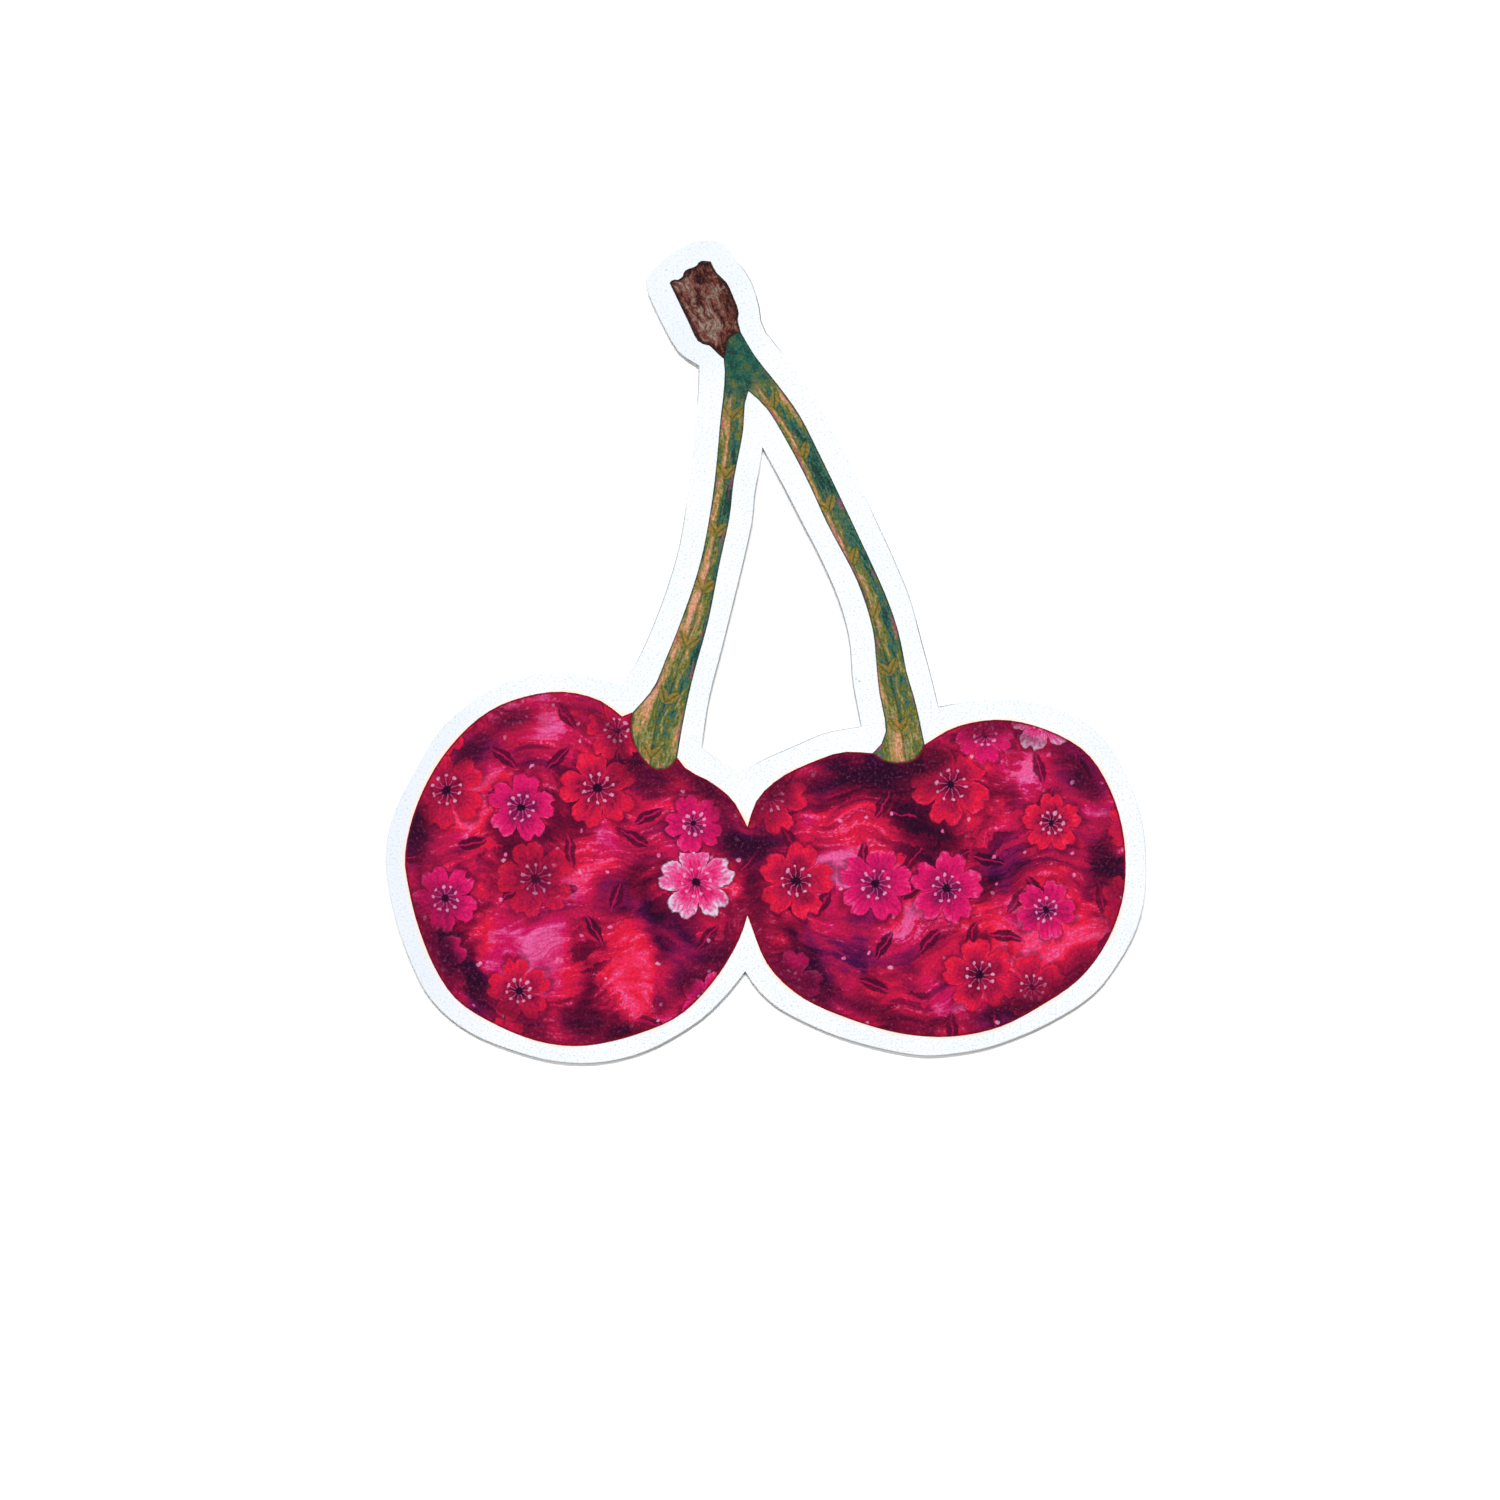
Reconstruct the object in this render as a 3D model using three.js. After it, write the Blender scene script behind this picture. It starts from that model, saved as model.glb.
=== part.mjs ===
// Die-cut sticker in the outline of two round lobes under a forked stem, lying face up on its liner.
// Millimetres: X to the right, Y up the sticker, Z out of its face. The origin is on the surface that
// it lies on, under the middle of its outline.

import * as THREE from 'three';

// Thickness of each layer, from the surface up
const linerThickness = 0.14;
const adhesiveThickness = 0.03;
const filmThickness = 0.13;
const inkThickness = 0.03;

// Straight step along a cut or printed edge, along the short curves where two colours meet, and along
// the stub's torn end
const edgeStep = 1.2;
const seatStep = 0.6;
const tornStep = 0.3;

// Cut outline, counterclockwise, in runs from one sharp corner to the next
const forkCorner = [-6.2, 26.4];
const rightCorner = [16.0, -5.1];
const lowerCorner = [-1.9, -29.6];
const leftCorner = [-13.3, -3.0];

const cutLeftStem = [
  forkCorner, [-6.3, 23.8], [-6.6, 20.1], [-7.0, 16.4], [-7.5, 12.7], [-8.1, 9.4], [-9.2, 5.7],
  [-10.6, 2.0], [-11.9, -0.8], leftCorner,
];
const cutLeftLobe = [
  leftCorner, [-15.5, -2.5], [-17.9, -2.0], [-20.4, -2.0], [-22.9, -2.5], [-25.7, -3.6], [-28.3, -5.5],
  [-30.2, -7.3], [-32.5, -11.1], [-34.0, -14.0], [-34.9, -16.5], [-35.2, -18.8], [-35.0, -21.3],
  [-34.2, -24.9], [-32.9, -28.6], [-31.4, -31.6], [-29.4, -33.8], [-26.9, -35.5], [-23.7, -36.8],
  [-20.2, -37.8], [-16.7, -38.1], [-13.5, -37.7], [-10.7, -36.8], [-7.9, -35.3], [-5.6, -33.7],
  [-3.5, -31.6], lowerCorner,
];
const cutRightLobe = [
  lowerCorner, [-0.8, -31.2], [0.9, -32.8], [3.2, -34.1], [6.4, -35.5], [9.7, -36.5], [12.4, -37.1],
  [15.0, -37.4], [17.5, -37.2], [20.3, -36.7], [23.5, -35.6], [26.3, -34.3], [29.3, -32.5],
  [31.0, -31.0], [32.6, -28.8], [33.8, -26.8], [34.6, -24.8], [35.1, -22.4], [35.2, -19.9],
  [35.1, -17.4], [34.6, -14.8], [33.7, -12.1], [32.6, -9.9], [31.2, -8.0], [29.4, -6.4], [27.3, -5.4],
  [24.9, -4.7], [22.2, -4.4], [19.7, -4.5], [17.5, -4.8], rightCorner,
];
const cutRightStem = [
  rightCorner, [15.4, -2.6], [14.4, 1.1], [13.4, 4.8], [11.9, 8.5], [10.2, 12.2], [8.5, 15.9],
  [6.7, 19.6], [4.6, 23.3], [2.7, 26.2], [0.8, 28.6], [-0.3, 30.1], [-0.5, 31.5], [-0.9, 33.1],
  [-1.6, 34.8], [-2.9, 36.4], [-3.9, 37.8], [-5.6, 38.1], [-6.8, 37.9], [-7.9, 37.3], [-9.3, 36.4],
  [-10.5, 35.3], [-11.1, 34.4], [-11.0, 33.5], [-10.2, 31.6], [-9.3, 29.8], [-8.2, 27.9],
  [-7.2, 27.0], forkCorner,
];

// Window between the stems, cut right through
const windowTop = [-0.3, 18.9];
const windowLeft = [-5.9, -8.9];
const windowFoot = [-2.5, -11.2];
const windowRight = [8.8, -6.9];

const windowLeftSide = [
  windowTop, [-0.6, 16.8], [-1.0, 14.5], [-1.2, 12.2], [-2.0, 8.5], [-2.9, 4.8], [-4.1, 0.0],
  [-5.2, -4.3], windowLeft,
];
const windowLeftFoot = [windowLeft, [-4.2, -10.1], windowFoot];
const windowRightFoot = [windowFoot, [-0.1, -9.9], [2.7, -8.7], [5.5, -7.5], windowRight];
const windowRightSide = [
  windowRight, [8.0, -2.6], [7.7, 1.1], [6.7, 4.8], [5.1, 8.5], [3.2, 12.2], [1.3, 15.9], windowTop,
];

// Printed areas, which leave a plain white border of about 1.9 mm inside the cut
const notchLow = [-1.7, -24.4];
const notchHigh = [-1.7, -16.2];
const leftSeatIn = [-8.2, -9.8];
const leftSeatOut = [-12.3, -5.6];
const leftCrease = [-13.3, -6.0];
const rightSeatIn = [9.9, -9.4];
const rightSeatOut = [14.7, -8.6];
const crotch = [-1.6, 24.1];
const collarLeft = [-3.9, 27.1];
const collarRight = [-2.3, 29.5];
const tornRight = [-5.1, 36.1];
const tornLeft = [-8.9, 34.1];

const printRightLobe = [
  notchLow, [0.2, -29.0], [3.2, -31.9], [7.8, -34.0], [12.9, -35.4], [17.5, -35.6], [21.7, -34.7],
  [25.4, -32.8], [29.1, -30.2], [31.6, -26.8], [33.0, -23.0], [33.3, -19.5], [32.9, -15.9],
  [31.7, -12.4], [29.6, -9.3], [25.9, -7.2], [21.7, -6.3], [17.5, -7.0], rightSeatOut,
];
const printRightShoulder = [
  rightSeatIn, [7.1, -9.3], [4.6, -10.1], [1.3, -11.7], [-0.8, -13.7], notchHigh,
];
const printLeftShoulder = [notchHigh, [-3.1, -13.7], [-5.2, -12.0], [-7.3, -10.9], leftSeatIn];
const printLeftStep = [leftSeatOut, leftCrease];
const printLeftLobe = [
  leftCrease, [-15.4, -4.5], [-19.1, -3.7], [-23.7, -4.6], [-26.6, -6.2], [-29.6, -9.3],
  [-31.6, -12.6], [-32.9, -16.1], [-33.4, -19.3], [-33.1, -21.6], [-32.2, -25.3], [-30.5, -29.5],
  [-28.5, -32.3], [-24.6, -34.7], [-20.9, -36.1], [-17.9, -36.5], [-15.4, -36.3], [-11.6, -35.3],
  [-7.9, -33.6], [-4.6, -30.2], [-2.4, -26.5], notchLow,
];
const leftSeat = [
  leftSeatIn, [-8.9, -10.7], [-10.1, -10.9], [-11.2, -10.1], [-12.2, -8.4], [-12.5, -7.0], leftSeatOut,
];
const rightSeat = [rightSeatOut, [13.9, -9.9], [12.4, -10.3], [11.0, -10.1], rightSeatIn];
const collar = [collarRight, [-3.0, 29.3], [-3.6, 28.7], [-3.6, 28.0], collarLeft];
const stemLeftOuter = [
  collarLeft, [-3.8, 26.0], [-3.9, 24.0], [-4.2, 21.5], [-4.5, 18.0], [-4.9, 14.5], [-5.7, 9.8],
  [-6.5, 6.7], [-8.2, 1.9], [-9.3, -0.8], [-10.3, -3.2], [-11.3, -4.5], leftSeatOut,
];
const stemLeftInner = [
  leftSeatIn, [-7.7, -6.8], [-6.8, -2.6], [-5.3, 2.9], [-4.3, 8.0], [-3.3, 12.7], [-3.0, 15.6],
  [-2.1, 20.4], [-1.9, 23.2], crotch,
];
const stemRightInner = [
  crotch, [0.0, 22.6], [2.3, 18.8], [4.1, 15.3], [5.6, 12.0], [8.5, 6.4], [9.9, 2.0], [10.2, -0.8],
  [10.5, -3.8], [11.0, -6.2], [11.1, -7.4], [10.6, -8.7], rightSeatIn,
];
const stemRightOuter = [
  rightSeatOut, [13.8, -4.5], [13.0, -1.8], [12.6, 0.4], [12.1, 2.4], [11.1, 5.2], [8.4, 11.1],
  [4.9, 18.4], [3.1, 21.9], [1.1, 24.7], [-0.9, 27.2], collarRight,
];
const stubRight = [
  collarRight, [-2.6, 30.7], [-2.5, 31.4], [-3.0, 32.8], [-3.6, 34.1], [-4.6, 35.1], tornRight,
];
const stubTorn = [
  tornRight, [-6.1, 36.1], [-6.4, 35.7], [-7.5, 35.2], [-7.7, 34.7], [-8.1, 34.4], [-8.6, 34.4], tornLeft,
];
const stubLeft = [tornLeft, [-7.3, 30.8], [-6.15, 28.6], [-5.2, 28.3], [-4.5, 27.6], collarLeft];

// Smooth line through the points of a run, in even steps, with both its ends kept
function smoothRun(points, step) {
  const places = points.map(([x, y]) => new THREE.Vector3(x, y, 0));
  const curve = new THREE.CatmullRomCurve3(places, false, 'centripetal');
  const steps = Math.max(1, Math.round(curve.getLength() / step));
  return curve.getSpacedPoints(steps).map((place) => new THREE.Vector2(place.x, place.y));
}

// Smoothed runs joined end to end and closed, so each run leaves its last point to the next
function closedOutline(runs) {
  return runs.flatMap((run) => run.slice(0, -1));
}

// Flat layer of one thickness, with the outline's corners straight up its edge
function layer(name, outline, holes, base, thickness, material) {
  const shape = new THREE.Shape(outline);
  shape.holes = holes.map((hole) => new THREE.Path(hole));
  const geometry = new THREE.ExtrudeGeometry(shape, { depth: thickness, bevelEnabled: false });
  const mesh = new THREE.Mesh(geometry, material);
  mesh.name = name;
  mesh.position.z = base;
  return mesh;
}

// Outlines
const edge = (points) => smoothRun(points, edgeStep);
const cutOutline = closedOutline([cutLeftStem, cutLeftLobe, cutRightLobe, cutRightStem].map(edge));
const windowOutline = closedOutline(
  [windowLeftSide, windowLeftFoot, windowRightFoot, windowRightSide].map(edge),
);

// A print's shared edges are smoothed once, so that neighbouring colours meet point for point
const leftSeatEdge = smoothRun(leftSeat, seatStep);
const rightSeatEdge = smoothRun(rightSeat, seatStep);
const collarEdge = smoothRun(collar, seatStep);
const lobesOutline = closedOutline([
  edge(printRightLobe), rightSeatEdge, edge(printRightShoulder),
  edge(printLeftShoulder), leftSeatEdge, edge(printLeftStep), edge(printLeftLobe),
]);
const stemsOutline = closedOutline([
  collarEdge, edge(stemLeftOuter), [...leftSeatEdge].reverse(), edge(stemLeftInner),
  edge(stemRightInner), [...rightSeatEdge].reverse(), edge(stemRightOuter),
]);
const stubOutline = closedOutline([
  smoothRun(stubRight, seatStep), smoothRun(stubTorn, tornStep), smoothRun(stubLeft, seatStep),
  [...collarEdge].reverse(),
]);

// Materials
const linerPaper = new THREE.MeshStandardMaterial({ color: 0xf1eee6, roughness: 0.75, metalness: 0 });
const adhesive = new THREE.MeshStandardMaterial({ color: 0xe8e6dc, roughness: 0.35, metalness: 0 });
const whiteVinyl = new THREE.MeshStandardMaterial({ color: 0xf5f9fd, roughness: 0.5, metalness: 0 });
const crimsonInk = new THREE.MeshStandardMaterial({ color: 0xb8123f, roughness: 0.5, metalness: 0 });
const greenInk = new THREE.MeshStandardMaterial({ color: 0x5f6f2e, roughness: 0.5, metalness: 0 });
const brownInk = new THREE.MeshStandardMaterial({ color: 0x5b3327, roughness: 0.5, metalness: 0 });

// Layers from the surface up
const adhesiveBase = linerThickness;
const filmBase = adhesiveBase + adhesiveThickness;
const inkBase = filmBase + filmThickness;

const sticker = new THREE.Group();
sticker.add(
  layer('release_liner', cutOutline, [windowOutline], 0, linerThickness, linerPaper),
  layer('adhesive_layer', cutOutline, [windowOutline], adhesiveBase, adhesiveThickness, adhesive),
  layer('face_film', cutOutline, [windowOutline], filmBase, filmThickness, whiteVinyl),
  layer('print_crimson', lobesOutline, [], inkBase, inkThickness, crimsonInk),
  layer('print_green', stemsOutline, [], inkBase, inkThickness, greenInk),
  layer('print_brown', stubOutline, [], inkBase, inkThickness, brownInk),
);

export default sticker;
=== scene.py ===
# Looks of a flat die-cut sticker with a printed face, lying face up on its release liner.
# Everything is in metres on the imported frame; printed patterns are laid out in millimetres.
import math

import bmesh
import bpy
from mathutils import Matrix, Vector
from mathutils.bvhtree import BVHTree


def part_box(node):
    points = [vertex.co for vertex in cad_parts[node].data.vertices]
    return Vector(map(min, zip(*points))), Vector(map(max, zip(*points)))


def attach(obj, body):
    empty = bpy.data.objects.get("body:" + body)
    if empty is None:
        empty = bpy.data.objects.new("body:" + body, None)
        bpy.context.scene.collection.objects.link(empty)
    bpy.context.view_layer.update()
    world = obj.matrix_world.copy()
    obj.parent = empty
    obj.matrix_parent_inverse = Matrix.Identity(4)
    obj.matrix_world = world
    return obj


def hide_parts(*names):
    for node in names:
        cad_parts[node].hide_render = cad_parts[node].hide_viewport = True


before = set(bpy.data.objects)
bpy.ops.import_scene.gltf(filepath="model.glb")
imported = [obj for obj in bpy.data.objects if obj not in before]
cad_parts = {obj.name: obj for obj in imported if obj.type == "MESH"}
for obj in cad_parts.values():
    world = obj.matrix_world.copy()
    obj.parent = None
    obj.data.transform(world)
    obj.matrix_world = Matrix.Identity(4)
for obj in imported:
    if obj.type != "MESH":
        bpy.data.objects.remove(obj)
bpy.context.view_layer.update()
print("frame loaded:", sorted(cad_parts))

scene = bpy.context.scene
scene.view_settings.view_transform = "Standard"
mmPerMetre = 1000.0


# Shader expressions

class Wire:  # one output socket, usable in sums
    def __init__(self, sheet, socket):
        self.sheet = sheet
        self.socket = socket

    def out(self, name):  # another output of the same node
        return Wire(self.sheet, self.socket.node.outputs[name])

    def __add__(self, other):
        return self.sheet.sum("ADD", self, other)

    def __sub__(self, other):
        return self.sheet.sum("SUBTRACT", self, other)

    def __rsub__(self, other):
        return self.sheet.sum("SUBTRACT", other, self)

    def __mul__(self, other):
        return self.sheet.sum("MULTIPLY", self, other)

    def __truediv__(self, other):
        return self.sheet.sum("DIVIDE", self, other)

    __radd__ = __add__
    __rmul__ = __mul__


class Sheet:  # one material and its nodes
    def __init__(self, name):
        self.material = bpy.data.materials.new(name)
        self.material.use_nodes = True
        self.tree = self.material.node_tree
        self.tree.nodes.clear()

    def node(self, kind, settings, inputs, output=0):
        made = self.tree.nodes.new("ShaderNode" + kind)
        for key, value in settings.items():
            if key == "stops":
                setStops(made.color_ramp.elements, value)
            else:
                setattr(made, key, value)
        for key, value in inputs.items():
            if isinstance(value, Wire):
                self.tree.links.new(value.socket, made.inputs[key])
            else:
                made.inputs[key].default_value = value
        return Wire(self, made.outputs[output])

    def sum(self, operation, *values):
        return self.node("Math", {"operation": operation}, dict(enumerate(values)))

    def vector(self, operation, *values):
        return self.node("VectorMath", {"operation": operation}, dict(enumerate(values)))

    def fade(self, value, start, end):  # 0 at start, 1 at end, eased; start may be the larger
        limits = {"Value": value, "From Min": start, "From Max": end}
        return self.node("MapRange", {"interpolation_type": "SMOOTHSTEP"}, limits)

    def above(self, chance, limit):  # 1 where a chance is past its limit, else 0
        return self.fade(chance, limit, limit + 0.02)

    def about(self, value, middle, spread):  # a number from 0 to 1, spread about a middle
        return value * spread + (middle - spread / 2)

    def mix(self, share, low, high):  # colours
        return self.node("Mix", {"data_type": "RGBA"}, {0: share, 6: low, 7: high}, 2)

    def ramp(self, value, stops):
        return self.node("ValToRGB", {"stops": stops}, {0: value})

    def noise(self, place, scale, detail=2.0, roughness=0.5, output=0):
        inputs = {"Vector": place, "Scale": scale, "Detail": detail, "Roughness": roughness}
        return self.node("TexNoise", {"noise_dimensions": "2D"}, inputs, output)

    def scale(self, vector, amount):  # places or colours
        return self.node("VectorMath", {"operation": "SCALE"}, {0: vector, "Scale": amount})

    def millimetres(self):  # object coordinates, in mm
        return self.scale(self.node("TexCoord", {}, {}, "Object"), mmPerMetre)

    def measured(self, layerName):  # mm, as measure() wrote them on the mesh
        return self.node("Attribute", {"attribute_name": layerName}, {}, "Fac")

    def push(self, place, scale, reach, detail=2.0, roughness=0.5):  # by up to half of reach, any way
        swing = self.noise(place, scale, detail, roughness, "Color")
        return self.scale(self.vector("SUBTRACT", swing, (0.5, 0.5, 0.5)), reach)

    def wander(self, place, scale, reach):  # a place pushed about
        return self.vector("ADD", place, self.push(place, scale, reach))

    def cells(self, place, pitch, scatter, output):  # one random cell about every pitch
        inputs = {"Vector": place, "Scale": 1 / pitch, "Randomness": scatter}
        return self.node("TexVoronoi", {"voronoi_dimensions": "2D"}, inputs, output)

    def chances(self, cell):  # three random numbers of a cell
        first = self.node("SeparateColor", {}, {0: cell.out("Color")})
        return first, first.out("Green"), first.out("Blue")

    def split(self, place):
        parts = self.node("SeparateXYZ", {}, {0: place})
        return parts, parts.out("Y")

    def join(self, across, along):
        return self.node("CombineXYZ", {}, {"X": across, "Y": along})

    def bump(self, height, strength, distance):
        return self.node("Bump", {}, {"Height": height, "Strength": strength, "Distance": distance})

    def finish(self, shader):  # principled inputs by name
        surface = self.node("BsdfPrincipled", {}, shader)
        output = self.tree.nodes.new("ShaderNodeOutputMaterial")
        self.tree.links.new(surface.socket, output.inputs["Surface"])
        return self.material


def setStops(elements, stops):
    while len(elements) < len(stops):
        elements.new(1.0)
    for element, (position, colour) in zip(elements, stops):
        element.position = position
        element.color = colour


def tint(red, green, blue):  # a screen colour, 0 to 255, as the shader's linear colour
    def linear(part):
        part = part / 255
        return part / 12.92 if part <= 0.04045 else ((part + 0.055) / 1.055) ** 2.4
    return (linear(red), linear(green), linear(blue), 1.0)


# Printed colours

inks = {
    "night": tint(40, 3, 34),
    "plum": tint(91, 4, 42),
    "wine": tint(128, 8, 50),
    "garnet": tint(124, 6, 26),
    "crimson": tint(180, 20, 66),
    "scarlet": tint(220, 22, 58),
    "coral": tint(237, 52, 100),
    "violet": tint(69, 8, 63),
    "berry": tint(130, 16, 76),
    "magenta": tint(198, 15, 93),
    "rose": tint(222, 26, 104),
    "mauve": tint(156, 62, 106),
    "pink": tint(224, 92, 154),
    "blush": tint(228, 150, 190),
    "lilac": tint(216, 206, 228),
    "pine": tint(28, 54, 44),
    "teal": tint(21, 86, 74),
    "slate": tint(64, 102, 92),
    "moss": tint(82, 94, 30),
    "olive": tint(122, 116, 42),
    "sage": tint(127, 134, 104),
    "ochre": tint(178, 126, 44),
    "clay": tint(207, 150, 124),
    "umber": tint(38, 13, 9),
    "bark": tint(74, 30, 23),
    "rust": tint(119, 62, 54),
    "ash": tint(152, 124, 116),
    "lichen": tint(106, 92, 76),
}

# In the settings, a noise is its scale per mm, detail and roughness, and a fade its start and end
printFinish = {
    "fleck": (4.2, 2.0, 0.7),  # grain of the white film under every ink
    "bare": (5.46, 2.0, 0.8),  # grain of the points where that film shows
    "bareFade": (0.46, 0.74),
    "paper": tint(222, 224, 226),
    "tone": 0.84,
    "edgeGrain": (0.25, 3.0, 0.6),  # unevenness of the dark line at a print's edge
    "edgeBlur": 0.08,  # mm
    "bump": 0.3,
    "relief": 0.00001,
    "gloss": 0.10,
    "roughness": 0.38,
    "roughSpread": 0.1,
}


def printedInk(sheet, colour, place, look):  # the edge line and the finish that all the inks share
    uneven = sheet.noise(place, *printFinish["edgeGrain"]) * (look["line"] * 2)
    blur = printFinish["edgeBlur"]
    line = sheet.fade(sheet.measured("depth") - uneven, blur, -blur)
    lined = sheet.mix(line * look["lineShare"], colour, look["lineInk"])
    fleck = sheet.noise(place, *printFinish["fleck"])
    flecked = sheet.scale(lined, (fleck - 0.5) * look["grit"] + printFinish["tone"])
    bare = sheet.fade(sheet.noise(place, *printFinish["bare"]), *printFinish["bareFade"])
    return sheet.finish({
        "Base Color": sheet.mix(bare * look["bare"], flecked, printFinish["paper"]),
        "Roughness": sheet.about(fleck, printFinish["roughness"], printFinish["roughSpread"]),
        "Specular IOR Level": printFinish["gloss"],
        "Normal": sheet.bump(fleck, printFinish["bump"], printFinish["relief"]),
    })


blossomPrint = {
    "pitch": 8.2,  # mm between cells
    "scatter": 0.5,
    "size": 2.6,  # least radius, and how much more at most, mm
    "sizeSpread": 1.2,
    "shownFrom": 0.07,  # a cell's chance from which it holds a blossom
    "redTo": 0.40,  # up to which the blossom is red, and from which it is pale
    "paleFrom": 0.86,
    "petals": 5,
    "waist": 0.34,  # how far out two petals part, as a share of the radius
    "notch": 0.13,  # how deep a petal's tip is cut in, likewise
    "notchSides": (0.24, 0.0),
    "edge": (1.03, 0.95),
    "halo": (1.30, 0.98),
    "streaks": (2.8, 4.0, 0.65),
    "dabs": (0.55, 3.0, 0.6),
    "tone": {"start": -0.42, "reach": 0.66, "streaks": 0.62, "dabs": 0.5},
    "rosy": [
        (0.14, inks["violet"]), (0.34, inks["berry"]), (0.56, inks["magenta"]), (0.78, inks["rose"]),
        (0.97, inks["pink"]),
    ],
    "red": [
        (0.14, inks["night"]), (0.34, inks["wine"]), (0.56, inks["crimson"]), (0.78, inks["scarlet"]),
        (0.97, inks["coral"]),
    ],
    "pale": [
        (0.20, inks["berry"]), (0.42, inks["rose"]), (0.64, inks["pink"]), (0.86, inks["lilac"]),
    ],
    "stamens": 10,
    "stamenReach": 0.36,
    "stamenBlur": 0.05,  # mm, as the next two
    "thread": (0.07, 0.03),
    "tip": (0.19, 0.11),
    "threadShare": 0.5,
    "tipShare": 0.8,
    "eye": (0.14, 0.09),  # shares of the radius
}


def blossoms(sheet, place):  # petalled blossoms, one to a cell, each turned its own way
    look = blossomPrint
    cell = sheet.cells(place, look["pitch"], look["scatter"], "Position")
    turnChance, sizeChance, kindChance = sheet.chances(cell)
    across, along = sheet.split(sheet.vector("SUBTRACT", place, cell))
    radius = sheet.sum("SQRT", across * across + along * along)
    angle = sheet.sum("ARCTAN2", along, across) + turnChance * (2 * math.pi) + 4 * math.pi
    size = sizeChance * look["sizeSpread"] + look["size"]

    turn = sheet.sum("FRACT", angle * (look["petals"] / (2 * math.pi)))
    side = sheet.sum("ABSOLUTE", turn - 0.5) * 2  # 0 on a petal's middle line, 1 between petals
    roundness = sheet.sum("SQRT", 1 - side * side * side)
    notch = sheet.fade(side, *look["notchSides"]) * look["notch"]
    edge = size * (roundness * (1 - look["waist"]) + look["waist"] - notch)
    reach = radius / edge  # 1 on the petal's edge
    drawnOut = sheet.join(side * 2.4 + kindChance * 40, radius * 0.45)  # its own place on each blossom
    streaks = sheet.noise(drawnOut, *look["streaks"])
    dabs = sheet.noise(place, *look["dabs"])
    weights = look["tone"]
    tone = reach * weights["reach"] + streaks * weights["streaks"] + weights["start"]
    tone = tone + dabs * weights["dabs"]
    red, rosy, pale = (sheet.ramp(tone, look[kind]) for kind in ("red", "rosy", "pale"))
    petals = sheet.mix(sheet.above(kindChance, look["redTo"]), red, rosy)
    petals = sheet.mix(sheet.above(kindChance, look["paleFrom"]), petals, pale)

    stamenPitch = 2 * math.pi / look["stamens"]
    stamenSide = (sheet.sum("FRACT", angle / stamenPitch) - 0.5) * radius * stamenPitch
    stamenEnd = radius - size * look["stamenReach"]
    tip = sheet.sum("SQRT", stamenSide * stamenSide + stamenEnd * stamenEnd)
    threads = sheet.fade(sheet.sum("ABSOLUTE", stamenSide), *look["thread"])
    threads = threads * sheet.fade(stamenEnd, look["stamenBlur"], -look["stamenBlur"])
    petals = sheet.mix(threads * look["threadShare"], petals, inks["pink"])
    petals = sheet.mix(sheet.fade(tip, *look["tip"]) * look["tipShare"], petals, inks["blush"])
    eyeEdge, eyeFull = look["eye"]
    petals = sheet.mix(sheet.fade(radius, size * eyeEdge, size * eyeFull), petals, inks["night"])
    shown = sheet.above(kindChance, look["shownFrom"])
    return petals, sheet.fade(reach, *look["edge"]) * shown, sheet.fade(reach, *look["halo"]) * shown


leafPrint = {
    "pitch": 4.1,  # mm between cells
    "scatter": 0.8,
    "shownFrom": 0.30,
    "length": 1.6,  # half a leaf's, as the width, mm
    "width": 0.56,
    "blur": 0.08,
    "vein": (0.11, 0.05),
    "veinShare": 0.7,
}


def leaves(sheet, place):  # small pointed leaves, one to a cell
    cell = sheet.cells(place, leafPrint["pitch"], leafPrint["scatter"], "Position")
    turnChance, shownChance, toneChance = sheet.chances(cell)
    turning = {"Vector": sheet.vector("SUBTRACT", place, cell), "Angle": turnChance * (2 * math.pi)}
    along, across = sheet.split(sheet.node("VectorRotate", {"rotation_type": "Z_AXIS"}, turning))
    along = along / leafPrint["length"]
    across = sheet.sum("ABSOLUTE", across)
    width = (1 - along * along) * leafPrint["width"]
    mask = sheet.fade(across - width, leafPrint["blur"], -leafPrint["blur"])
    mask = mask * sheet.fade(sheet.sum("ABSOLUTE", along), 1.0, 0.96)
    tone = sheet.mix(toneChance, inks["night"], inks["plum"])
    vein = sheet.fade(across, *leafPrint["vein"]) * leafPrint["veinShare"]
    shown = sheet.above(shownChance, leafPrint["shownFrom"])
    return sheet.mix(vein, tone, inks["magenta"]), mask * shown


seedPrint = {"pitch": 2.4, "size": 0.21, "shownFrom": 0.74}


def seeds(sheet, place):  # small light dots between the motifs
    cell = sheet.cells(place, seedPrint["pitch"], 1.0, "Distance")
    shownChance, toneChance, _ = sheet.chances(cell)
    mask = sheet.fade(cell * seedPrint["pitch"], seedPrint["size"], seedPrint["size"] * 0.6)
    tone = sheet.mix(toneChance, inks["pink"], inks["blush"])
    return tone, mask * sheet.above(shownChance, seedPrint["shownFrom"])


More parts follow.
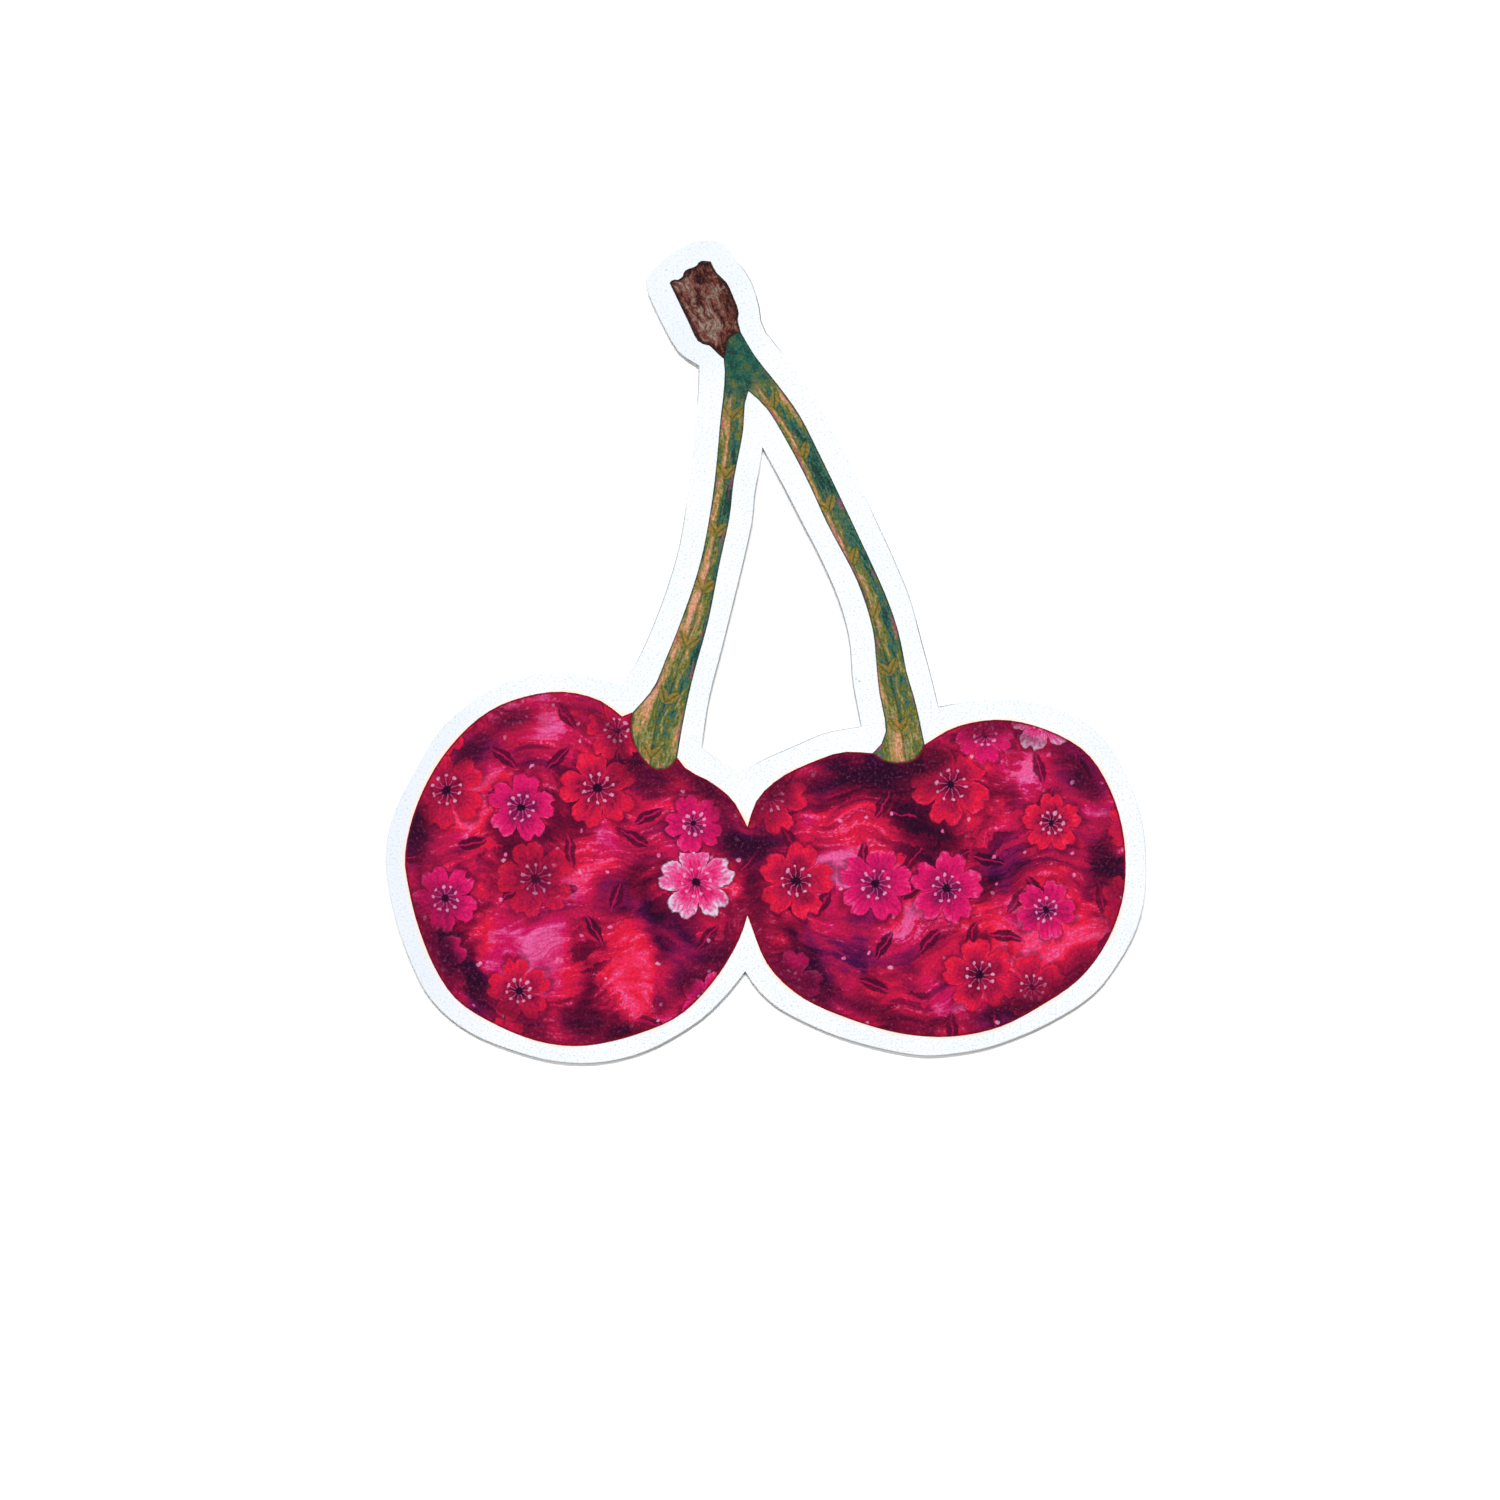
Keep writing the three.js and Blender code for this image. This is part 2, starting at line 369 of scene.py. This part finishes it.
lobePrint = {
    "bend": (0.085, 8.5),  # bends of the brush per mm, and how far they go, mm
    "brushTurn": math.radians(24),
    "dab": (0.30, 1.05, 1.0),  # brush marks per mm, along and across the brush
    "ragged": (1.9, 0.9),  # points along a mark's edge per mm, and their reach in marks
    "strokes": (1.5, 5.0, 0.65),
    "patches": (0.13, 2.5, 0.5),
    "tone": {"middle": 0.54, "patches": 1.6, "dab": 0.28, "strokes": 0.62, "band": 0.24},
    "warm": [
        (0.10, inks["night"]), (0.27, inks["plum"]), (0.42, inks["wine"]), (0.56, inks["crimson"]),
        (0.72, inks["scarlet"]), (0.95, inks["coral"]),
    ],
    "cool": [
        (0.12, inks["violet"]), (0.34, inks["berry"]), (0.56, inks["crimson"]), (0.72, inks["magenta"]),
        (0.94, inks["pink"]),
    ],
    "hue": (0.10, 2.0),
    "dabHue": 0.12,
    "coolFade": (0.40, 0.62),
    "dryGrain": (3.2, 3.0, 0.7),  # thin pink where a light stroke runs dry
    "dryPlaces": (0.84, 0.96),
    "dryFade": (0.44, 0.62),
    "dryShare": 0.8,
    "waver": (1.1, 0.55),  # bends in a motif's edge per mm, and how far they go, mm
    "motifShare": 0.88,
    "haloShare": 0.65,
    "band": (3.9, 0.4),  # depths at which the darker band along the edge ends and is full, mm
    "bandSwing": 7.0,
    "bandShare": 0.92,
    "bandFade": (0.28, 0.66),
    "strip": (1.5, 0.5),  # depths from which the band gives way to the ground colour, mm
    "stripSwing": 1.2,
    "stripGrain": (0.09, 1.0),
    "stripPlaces": (0.44, 0.56),
    "stripShare": 0.9,
    "tooth": (3.4, 4.0, 0.75),  # tips of the ground's tooth
    "toothFade": (0.54, 0.72),
    "toothShare": 0.10,
    "toothOnBand": 0.38,
    "line": 0.16,  # mm
    "lineInk": inks["garnet"],
    "lineShare": 0.85,
    "grit": 0.9,
    "bare": 0.006,
}


def lobeInk():
    look = lobePrint
    sheet = Sheet("lobeInk")
    place = sheet.millimetres()
    depth = sheet.measured("depth")
    bent = sheet.wander(place, *look["bend"])
    brush = sheet.node("Mapping", {}, {
        "Vector": bent, "Rotation": (0.0, 0.0, look["brushTurn"]), "Scale": look["dab"],
    })
    ragged = sheet.vector("ADD", brush, sheet.push(place, *look["ragged"], 3.0, 0.6))
    dab, dabHue, _ = sheet.chances(sheet.cells(ragged, 1.0, 1.0, "Distance"))
    strokes = sheet.noise(brush, *look["strokes"])
    patches = sheet.noise(bent, *look["patches"])

    stripPlaces = sheet.fade(sheet.noise(place, *look["stripGrain"]), *look["stripPlaces"])
    strip = sheet.fade(depth + (strokes - 0.5) * look["stripSwing"], *look["strip"]) * stripPlaces
    band = sheet.fade(depth + (patches - 0.5) * look["bandSwing"], *look["band"])
    band = band * (1 - strip * look["stripShare"])
    weights = look["tone"]
    tone = (patches - 0.5) * weights["patches"] + (dab - 0.5) * weights["dab"] + weights["middle"]
    tone = tone + (strokes - 0.5) * weights["strokes"] - band * weights["band"]
    hue = sheet.noise(bent, *look["hue"]) + (dabHue - 0.5) * look["dabHue"]
    cool = sheet.fade(hue, *look["coolFade"])
    colour = sheet.mix(cool, sheet.ramp(tone, look["warm"]), sheet.ramp(tone, look["cool"]))
    dryPlaces = sheet.fade(strokes + patches * 0.6, *look["dryPlaces"])
    dry = sheet.fade(sheet.noise(place, *look["dryGrain"]) * dryPlaces, *look["dryFade"])
    colour = sheet.mix(dry * look["dryShare"], colour, inks["pink"])

    drawn = sheet.wander(place, *look["waver"])
    for motif in (leaves, seeds):
        ink, mask = motif(sheet, drawn)
        colour = sheet.mix(mask * look["motifShare"], colour, ink)
    petals, petalMask, haloMask = blossoms(sheet, drawn)
    colour = sheet.mix(haloMask * look["haloShare"], colour, inks["plum"])
    colour = sheet.mix(petalMask, colour, petals)

    bandFade = sheet.fade(patches + (strokes - 0.5) * 0.4, *look["bandFade"])
    bandTone = sheet.mix(bandFade, inks["night"], inks["wine"])
    colour = sheet.mix(band * look["bandShare"], colour, bandTone)
    tooth = sheet.fade(sheet.noise(place, *look["tooth"]), *look["toothFade"])
    tooth = tooth * (band * look["toothOnBand"] + look["toothShare"])
    colour = sheet.mix(tooth, colour, inks["mauve"])
    return printedInk(sheet, colour, place, look)


stemPrint = {
    "uneven": (1.5, 0.4),  # noises per mm across and along a stem
    "streaks": (1.5, 0.22),
    "patches": (0.5, 0.10),
    "fibres": (4.0, 1.3),
    "tone": {"middle": 0.56, "patches": 1.7, "streaks": 1.1, "fibres": 1.0},
    "tones": [
        (0.04, inks["pine"]), (0.17, inks["teal"]), (0.28, inks["slate"]), (0.39, inks["moss"]),
        (0.56, inks["olive"]), (0.65, inks["sage"]), (0.78, inks["ochre"]), (0.93, inks["clay"]),
    ],
    "fork": (-3.2, 27.4, 0.33),  # where the two stems meet, mm
    "forkReach": (6.0, 2.6),
    "forkSwing": 3.0,
    "forkGrain": (0.8, 4.0, 0.6),
    "forkTones": [(0.30, inks["pine"]), (0.50, inks["teal"]), (0.72, inks["moss"])],
    "leafPitch": 5.4,  # of the sprig along each stem, mm, as the next six
    "leafLength": 1.9,
    "leafWidth": 0.42,
    "leafOut": 0.72,  # from the twig to the middle of a leaf
    "vein": (0.12, 0.04),
    "leafEdge": (0.06, -0.05),
    "leafShadow": (0.16, 0.04),
    "leafTurn": math.radians(36),
    "leafShare": 0.7,
    "shadowShare": 0.4,
    "twig": (0.15, 0.07),
    "twigShare": 0.5,
    "rosyPlaces": (0.06, 0.16),
    "rosyDepth": (0.50, 0.20),
    "rosyShare": 0.65,
    "line": 0.12,
    "lineInk": inks["pine"],
    "lineShare": 0.85,
    "grit": 1.4,
    "bare": 0.05,
}


def stemInk():
    look = stemPrint
    sheet = Sheet("stemInk")
    place = sheet.millimetres()
    across, along = sheet.split(sheet.node("UVMap", {"uv_map": "stemFlow"}, {}))

    def lengthwise(kind, sway, detail, roughness):  # noise drawn out along the stem
        perAcross, perAlong = look[kind]
        spread = sheet.join(across * perAcross + sway, along * perAlong)
        return sheet.noise(spread, 1.0, detail, roughness)

    uneven = lengthwise("uneven", 0.0, 3.0, 0.5) - 0.5
    streaks = lengthwise("streaks", uneven * 0.6, 4.0, 0.65)
    patches = lengthwise("patches", uneven * 0.4, 3.0, 0.5)
    fibres = lengthwise("fibres", uneven, 3.0, 0.7)
    weights = look["tone"]
    tone = (patches - 0.5) * weights["patches"] + (streaks - 0.5) * weights["streaks"]
    tone = tone + (fibres - 0.5) * weights["fibres"] + weights["middle"]
    colour = sheet.ramp(tone, look["tones"])
    clouds = sheet.noise(place, *look["forkGrain"])
    away = sheet.vector("DISTANCE", place, look["fork"]).out("Value")
    fork = sheet.fade(away + (clouds - 0.5) * look["forkSwing"], *look["forkReach"])
    colour = sheet.mix(fork, colour, sheet.ramp(clouds, look["forkTones"]))

    side = sheet.sum("ABSOLUTE", across + uneven * 0.2)
    step = (sheet.sum("FRACT", along / look["leafPitch"]) - 0.5) * look["leafPitch"]
    cosTurn, sinTurn = math.cos(look["leafTurn"]), math.sin(look["leafTurn"])
    leafAlong = (side * sinTurn - step * cosTurn - look["leafOut"]) / (look["leafLength"] / 2)
    leafAcross = sheet.sum("ABSOLUTE", side * cosTurn + step * sinTurn)
    outside = leafAcross - (1 - leafAlong * leafAlong) * look["leafWidth"]  # mm beyond a leaf's edge
    leafTone = sheet.mix(streaks, inks["olive"], inks["ochre"])
    leafTone = sheet.mix(sheet.fade(leafAcross, *look["vein"]), leafTone, inks["moss"])
    shown = 1 - fork
    twig = sheet.fade(side, *look["twig"]) * shown
    shadow = sheet.fade(outside, *look["leafShadow"]) * shown
    leaf = sheet.fade(outside, *look["leafEdge"]) * shown
    colour = sheet.mix(twig * look["twigShare"], colour, inks["pine"])
    colour = sheet.mix(shadow * look["shadowShare"], colour, inks["pine"])
    colour = sheet.mix(leaf * look["leafShare"], colour, leafTone)
    rosy = sheet.fade(uneven, *look["rosyPlaces"])
    rosy = rosy * sheet.fade(sheet.measured("depth"), *look["rosyDepth"]) * shown
    colour = sheet.mix(rosy * look["rosyShare"], colour, inks["mauve"])
    return printedInk(sheet, colour, place, look)


stubPrint = {
    "turn": math.radians(-26),
    "bend": (0.6, 1.2),  # bends of the streaks per mm, and how far they go, mm
    "streaks": (2.6, 0.7),  # per mm across and along
    "patches": (0.45, 2.0),
    "tone": {"middle": 0.50, "patches": 1.4, "streaks": 3.0},
    "tones": [
        (0.04, inks["umber"]), (0.28, inks["bark"]), (0.54, inks["rust"]), (0.76, inks["lichen"]),
        (1.0, inks["ash"]),
    ],
    "fleckPitch": 1.15,
    "fleckScatter": 0.9,
    "fleckWaver": (1.2, 0.35),
    "fleckSize": (0.42, 0.13),  # half a fleck's length and width, mm
    "fleckEdge": (1.1, 0.6),
    "darkTo": (0.4, 0.6),  # chances between which a fleck turns from dark to light
    "fleckShare": 0.5,
    "shownFrom": 0.35,
    "line": 0.28,
    "lineInk": inks["umber"],
    "lineShare": 0.9,
    "grit": 1.3,
    "bare": 0.045,
}


def stubInk():
    look = stubPrint
    sheet = Sheet("stubInk")
    place = sheet.millimetres()
    turned = sheet.node("Mapping", {}, {"Vector": place, "Rotation": (0.0, 0.0, look["turn"])})
    across, along = sheet.split(sheet.wander(turned, *look["bend"]))
    perAcross, perAlong = look["streaks"]
    streaks = sheet.noise(sheet.join(across * perAcross, along * perAlong), 1.0, 5.0, 0.75)
    patches = sheet.noise(place, *look["patches"])
    weights = look["tone"]
    tone = (patches - 0.5) * weights["patches"] + (streaks - 0.5) * weights["streaks"]
    colour = sheet.ramp(tone + weights["middle"], look["tones"])

    turned = sheet.wander(turned, *look["fleckWaver"])
    cell = sheet.cells(turned, look["fleckPitch"], look["fleckScatter"], "Position")
    shownChance, toneChance, _ = sheet.chances(cell)
    across, along = sheet.split(sheet.vector("SUBTRACT", turned, cell))
    length, width = look["fleckSize"]
    reach = sheet.sum("SQRT", across * across / length ** 2 + along * along / width ** 2)
    fleck = sheet.fade(reach, *look["fleckEdge"]) * sheet.above(shownChance, look["shownFrom"])
    fleckTone = sheet.mix(sheet.fade(toneChance, *look["darkTo"]), inks["umber"], inks["ash"])
    colour = sheet.mix(fleck * look["fleckShare"], colour, fleckTone)
    return printedInk(sheet, colour, place, look)


filmFinish = {
    "clean": tint(233, 235, 238),
    "shade": tint(221, 227, 233),
    "fleck": tint(184, 197, 214),
    "paintedShade": tint(211, 217, 226),
    "paintedShadeSpots": [((-40.0, -18.0), 27.0), ((-9.5, 33.0), 12.0)],  # painted shade: where the film is greyed, to the left and round the stub, as if less light fell there; place and radius, mm
    "paintedShadeShare": 0.6,
    "top": 0.3,  # height of the upper face, mm
    "topSide": 0.06,  # depth from which the film is no longer cut edge, mm
    "grain": (5.2, 3.0, 0.75),
    "cloud": (0.18, 2.0),
    "shadeFade": (0.44, 0.60),
    "fleckFade": (0.54, 0.74),
    "glow": 0.45,  # reach of the warm fringe round the lobes' print, mm
    "glowInk": tint(250, 214, 186),
    "glowPlaces": (0.30, 0.62),
    "glowShare": 0.7,
    "cutEdgeAndShadowLine": 0.13,  # width of the darker line along the cut edge, mm: faintly the cut's own grey edge, and painted shadow where the spots below strengthen it
    "cutEdgeAndShadowInk": tint(90, 92, 98),
    "cutEdgeAndShadowPlaces": (0.1, 0.6),
    "cutEdgeAndShadowShare": 0.16,
    "paintedShadowSpots": [  # painted shadow: place and radius, mm, and how much stronger the line is there, where a thin shadow is painted along the cut edge
        ((1.0, 3.0), 15.0, 0.75), ((-0.8, 31.5), 5.0, 0.75), ((-6.3, 25.2), 2.4, 0.75),
        ((-0.4, 31.1), 2.0, 0.6), ((14.8, -1.5), 4.8, 0.9), ((35.0, -20.0), 8.0, 0.22),
    ],
    "scuffInk": tint(120, 124, 130),
    "scuffShare": 0.5,
    "scuffWaver": (6.0, 0.12),
    "scuffs": [  # place and radius, mm
        ((8.35, -2.55), 0.13), ((8.62, -2.75), 0.12), ((-9.2, 35.3), 0.09), ((-9.25, 33.4), 0.11),
        ((-2.7, 34.0), 0.08),
    ],
    "gloss": 0.4,
    "roughness": 0.42,
    "roughSpread": 0.2,
    "bump": 0.35,
    "relief": 0.00001,
}


def vinylFilm():
    look = filmFinish
    sheet = Sheet("vinylFilm")
    place = sheet.millimetres()
    depth = sheet.measured("depth")

    def near(where, spot, radius, full):  # 1 within full mm of a spot on the top, 0 beyond radius
        away = sheet.vector("DISTANCE", where, (*spot, look["top"])).out("Value")
        return sheet.fade(away, radius, full)

    grain = sheet.noise(place, *look["grain"])
    cloud = sheet.noise(place, *look["cloud"])
    shading = sheet.fade(grain + (cloud - 0.5) * 0.3, *look["shadeFade"])
    colour = sheet.mix(shading, look["clean"], look["shade"])
    # painted shade: the film is greyed in two broad patches, to the left and round the stub, as if less
    # light fell there
    for spot, radius in look["paintedShadeSpots"]:
        paintedShade = near(place, spot, radius, radius * 0.5)
        colour = sheet.mix(paintedShade * look["paintedShadeShare"], colour, look["paintedShade"])
    topSide = sheet.fade(depth, 0.0, look["topSide"])
    colour = sheet.mix(sheet.fade(grain, *look["fleckFade"]) * topSide, colour, look["fleck"])

    glow = sheet.fade(sheet.measured("lobeGap") + (grain - 0.5) * 0.2, look["glow"], 0.0)
    glow = glow * sheet.fade(cloud, *look["glowPlaces"]) * topSide
    colour = sheet.mix(glow * look["glowShare"], colour, look["glowInk"])
    uneven = sheet.wander(place, *look["scuffWaver"])
    for spot, radius in look["scuffs"]:
        scuff = near(uneven, spot, radius, radius * 0.5)
        colour = sheet.mix(scuff * look["scuffShare"], colour, look["scuffInk"])
    # the darker line along the cut edge: a faint grey cut edge all round, made stronger as painted
    # shadow at the spots where a thin shadow lines the edge
    cutEdgeAndShadowShare = sheet.fade(cloud, *look["cutEdgeAndShadowPlaces"]) * look["cutEdgeAndShadowShare"]
    for spot, radius, share in look["paintedShadowSpots"]:
        cutEdgeAndShadowShare = near(place, spot, radius, radius * 0.8) * share + cutEdgeAndShadowShare
    cutEdgeAndShadowLine = sheet.fade(depth, look["cutEdgeAndShadowLine"], 0.0)
    return sheet.finish({
        "Base Color": sheet.mix(cutEdgeAndShadowLine * cutEdgeAndShadowShare, colour, look["cutEdgeAndShadowInk"]),
        "Roughness": sheet.about(grain, look["roughness"], look["roughSpread"]),
        "Specular IOR Level": look["gloss"],
        "Normal": sheet.bump(grain, look["bump"], look["relief"]),
    })


linerFinish = {
    "paper": tint(240, 238, 231),
    "fibre": tint(222, 218, 208),
    "fibreStretch": (0.5, 1.6, 1.0),
    "fibreGrain": (2.4, 5.0, 0.7),
    "cloud": (0.3, 3.0),
    "fibreFade": (0.40, 0.66),
    "roughness": 0.7,
    "roughSpread": 0.2,
    "bump": 0.4,
    "relief": 0.00002,
}


def linerPaper():
    look = linerFinish
    sheet = Sheet("linerPaper")
    place = sheet.millimetres()
    stretched = sheet.node("Mapping", {}, {"Vector": place, "Scale": look["fibreStretch"]})
    fibres = sheet.noise(stretched, *look["fibreGrain"])
    cloud = sheet.noise(place, *look["cloud"])
    share = sheet.fade(fibres * 0.7 + cloud * 0.3, *look["fibreFade"])
    return sheet.finish({
        "Base Color": sheet.mix(share, look["paper"], look["fibre"]),
        "Roughness": sheet.about(fibres, look["roughness"], look["roughSpread"]),
        "Normal": sheet.bump(fibres, look["bump"], look["relief"]),
    })


adhesiveFinish = {
    "clear": tint(226, 226, 216),
    "cloudy": tint(208, 208, 194),
    "cloud": (1.6, 3.0),
    "roughness": 0.25,
    "roughSpread": 0.2,
}


def clearAdhesive():
    look = adhesiveFinish
    sheet = Sheet("clearAdhesive")
    cloud = sheet.noise(sheet.millimetres(), *look["cloud"])
    return sheet.finish({
        "Base Color": sheet.mix(cloud, look["clear"], look["cloudy"]),
        "Roughness": sheet.about(cloud, look["roughness"], look["roughSpread"]),
    })


print("materials ready")


# Shapes

meshing = {
    "weld": 1e-6,  # metres, as cutWithin
    "flatWithin": math.radians(0.5),
    "cutWithin": 1e-7,
    "wallLean": 0.5,  # how far up a face looks, 0 to 1: less for a wall, more for a lying face
    "lyingLean": 0.99,
    "smoothLean": 0.9,  # faces that look less far up are shaded smooth
}


def nodeCopy(nodeName):  # a CAD node's mesh with its loose triangles joined into plain faces
    shape = bmesh.new()
    shape.from_mesh(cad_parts[nodeName].data)
    bmesh.ops.remove_doubles(shape, verts=shape.verts, dist=meshing["weld"])
    bmesh.ops.dissolve_limit(
        shape, angle_limit=meshing["flatWithin"], verts=shape.verts, edges=shape.edges,
    )
    return shape


def softenRim(shape, width, faceUp):  # rounds the edge where a wall meets the upper or lower face
    def isRim(edge):
        leans = sorted(face.normal.z * faceUp for face in edge.link_faces)
        return leans[0] < meshing["wallLean"] and leans[-1] > meshing["lyingLean"]

    rim = [edge for edge in shape.edges if isRim(edge)]
    bmesh.ops.bevel(
        shape, geom=rim, offset=width, offset_type="OFFSET", segments=2, profile=0.5,
        affect="EDGES", material=-1, clamp_overlap=True,
    )


def cutGrid(shape, corners, pitch):  # cuts every face along a square grid
    lowCorner, highCorner = corners
    for axis in (0, 1):
        for cut in range(1, int((highCorner[axis] - lowCorner[axis]) / pitch)):
            spot, facing = Vector(), Vector()
            spot[axis] = lowCorner[axis] + cut * pitch
            facing[axis] = 1.0
            everything = shape.verts[:] + shape.edges[:] + shape.faces[:]
            bmesh.ops.bisect_plane(
                shape, geom=everything, plane_co=spot, plane_no=facing, dist=meshing["cutWithin"],
            )


def measure(shape, layerName, nodeName, side):  # mm from a node's walls, outwards or (-1) inwards
    node = nodeCopy(nodeName)
    places = [vert.co.copy() for vert in node.verts]
    walls = [
        [vert.index for vert in face.verts]
        for face in node.faces if abs(face.normal.z) < meshing["wallLean"]
    ]
    sideWalls = BVHTree.FromPolygons(places, walls)
    wholeNode = BVHTree.FromBMesh(node)
    node.free()
    down = Vector((0.0, 0.0, -1.0))
    layer = shape.verts.layers.float.new(layerName)
    for vert in shape.verts:
        covered = wholeNode.ray_cast(vert.co - down, down)[0]
        distance = sideWalls.find_nearest(vert.co)[3] * mmPerMetre
        vert[layer] = distance * (-side if covered else side)


def panelCopy(nodeName, settings):  # with a soft upper edge, and vertices that know their "depth"
    shape = nodeCopy(nodeName)
    softenRim(shape, settings["rim"], 1)
    shape.normal_update()
    upper = [face for face in shape.faces if face.normal.z > meshing["lyingLean"]]
    bmesh.ops.inset_region(
        shape, faces=upper, thickness=settings["ring"], depth=0.0,
        use_boundary=True, use_even_offset=True,
    )
    cutGrid(shape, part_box(nodeName), settings["grid"])
    measure(shape, "depth", nodeName, -1)
    return shape


def alongLine(spot, line):  # (signed distance to the line's side, distance along it) of a point
    best, travelled = None, 0.0
    for start, end in zip(line, line[1:]):
        start, end = Vector(start), Vector(end)
        run = end - start
        share = min(1.0, max(0.0, (spot - start).dot(run) / run.length_squared))
        off = spot - (start + run * share)
        if best is None or off.length < abs(best[0]):
            best = (math.copysign(off.length, run.cross(off)), travelled + share * run.length)
        travelled += run.length
    return best


def addPiece(pieceName, shape, material, nodeName):
    shape.normal_update()
    for face in shape.faces:
        face.smooth = abs(face.normal.z) < meshing["smoothLean"]
    mesh = bpy.data.meshes.new(pieceName)
    shape.to_mesh(mesh)
    shape.free()
    mesh.materials.append(material)
    piece = bpy.data.objects.new(pieceName, mesh)
    scene.collection.objects.link(piece)
    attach(piece, "root")
    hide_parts(nodeName)
    print("made", pieceName, len(mesh.polygons), "faces")


# Pieces, from the liner up

linerPiece = {"rim": 0.00001}
linerShape = nodeCopy("release_liner")
softenRim(linerShape, linerPiece["rim"], -1)
addPiece("linerSheet", linerShape, linerPaper(), "release_liner")

adhesiveShape = nodeCopy("adhesive_layer")
addPiece("adhesiveCoat", adhesiveShape, clearAdhesive(), "adhesive_layer")

# Rounding of the upper edge, width of the row of faces along it, and pitch of the grid
filmPiece = {"rim": 0.00003, "ring": 0.00015, "grid": 0.0008}
inkPiece = {"rim": 0.00001, "ring": 0.0004, "grid": 0.0008}

filmShape = panelCopy("face_film", filmPiece)
measure(filmShape, "lobeGap", "print_crimson", 1)
addPiece("vinylFace", filmShape, vinylFilm(), "face_film")

lobeShape = panelCopy("print_crimson", inkPiece)
addPiece("lobeInkPanel", lobeShape, lobeInk(), "print_crimson")
stubShape = panelCopy("print_brown", inkPiece)
addPiece("stubInkPanel", stubShape, stubInk(), "print_brown")

# Middle lines of the two stems, top to bottom in mm, which the stems' print follows
stemLines = {
    "left": [
        (-3.6, 29.5), (-2.9, 24.5), (-3.3, 20.0), (-3.9, 14.5), (-5.0, 8.5), (-6.7, 2.5), (-8.6, -3.0),
        (-10.2, -7.0), (-10.8, -11.0),
    ],
    "right": [
        (-3.4, 29.5), (-0.9, 25.0), (2.4, 20.2), (4.9, 15.2), (7.2, 10.0), (9.5, 4.6), (11.2, -1.0),
        (12.3, -5.5), (13.0, -10.5),
    ],
}

stemShape = panelCopy("print_green", inkPiece)
flow = stemShape.loops.layers.uv.new("stemFlow")
for face in stemShape.faces:
    middle = face.calc_center_median() * mmPerMetre
    rows = {name: alongLine(middle.xy, line) for name, line in stemLines.items()}
    nearest = min(rows, key=lambda name: abs(rows[name][0]))
    for loop in face.loops:
        loop[flow].uv = alongLine(loop.vert.co.xy * mmPerMetre, stemLines[nearest])
addPiece("stemInkPanel", stemShape, stemInk(), "print_green")


# Studio

studio = {
    "floorSize": 3.0,
    "floorColour": tint(245, 245, 245),
    "floorRoughness": 0.9,
    "floorGap": 0.00002,
    "skyColour": (1.0, 1.0, 1.0, 1.0),
    "skyStrength": 0.08,
    "lights": [  # name, place, width and height, watts
        ("keyLight", (-0.1, 1.65, 1.62), (0.9, 0.3), 58.8),
        ("fillLightLeft", (-1.75, 0.3, 1.4), (0.5, 0.5), 19.5),
        ("fillLightRight", (1.75, 0.2, 1.7), (0.5, 0.5), 19.5),
    ],
}

floorShape = bmesh.new()
bmesh.ops.create_grid(floorShape, x_segments=1, y_segments=1, size=studio["floorSize"] / 2)
bmesh.ops.translate(floorShape, verts=floorShape.verts, vec=(0.0, 0.0, -studio["floorGap"]))
floorMesh = bpy.data.meshes.new("paleFloor")
floorShape.to_mesh(floorMesh)
floorShape.free()
floorMesh.materials.append(Sheet("floorPaint").finish({
    "Base Color": studio["floorColour"],
    "Roughness": studio["floorRoughness"],
    "Specular IOR Level": 0.0,
}))
floor = bpy.data.objects.new("paleFloor", floorMesh)
scene.collection.objects.link(floor)

world = bpy.data.worlds.new("softStudio")
world.use_nodes = True
sky = world.node_tree.nodes["Background"].inputs
sky["Color"].default_value = studio["skyColour"]
sky["Strength"].default_value = studio["skyStrength"]
scene.world = world

for lightName, place, (width, height), watts in studio["lights"]:
    lamp = bpy.data.lights.new(lightName, "AREA")
    lamp.shape = "RECTANGLE"
    lamp.size = width
    lamp.size_y = height
    lamp.energy = watts
    light = bpy.data.objects.new(lightName, lamp)
    light.location = place
    light.rotation_euler = Vector(place).to_track_quat("Z", "Y").to_euler()
    scene.collection.objects.link(light)

view = {
    "lens": 85.0,
    "across": 0.1389,  # what the picture's width covers on the floor
    "middle": (-0.00146, -0.00911),
    "nearest": 0.01,
}
camera = bpy.data.cameras.new("viewCamera")
camera.lens = view["lens"]
camera.clip_start = view["nearest"]
eye = bpy.data.objects.new("viewCamera", camera)
eye.location = (*view["middle"], view["across"] * view["lens"] / camera.sensor_width)
scene.collection.objects.link(eye)
scene.camera = eye
print("studio ready")
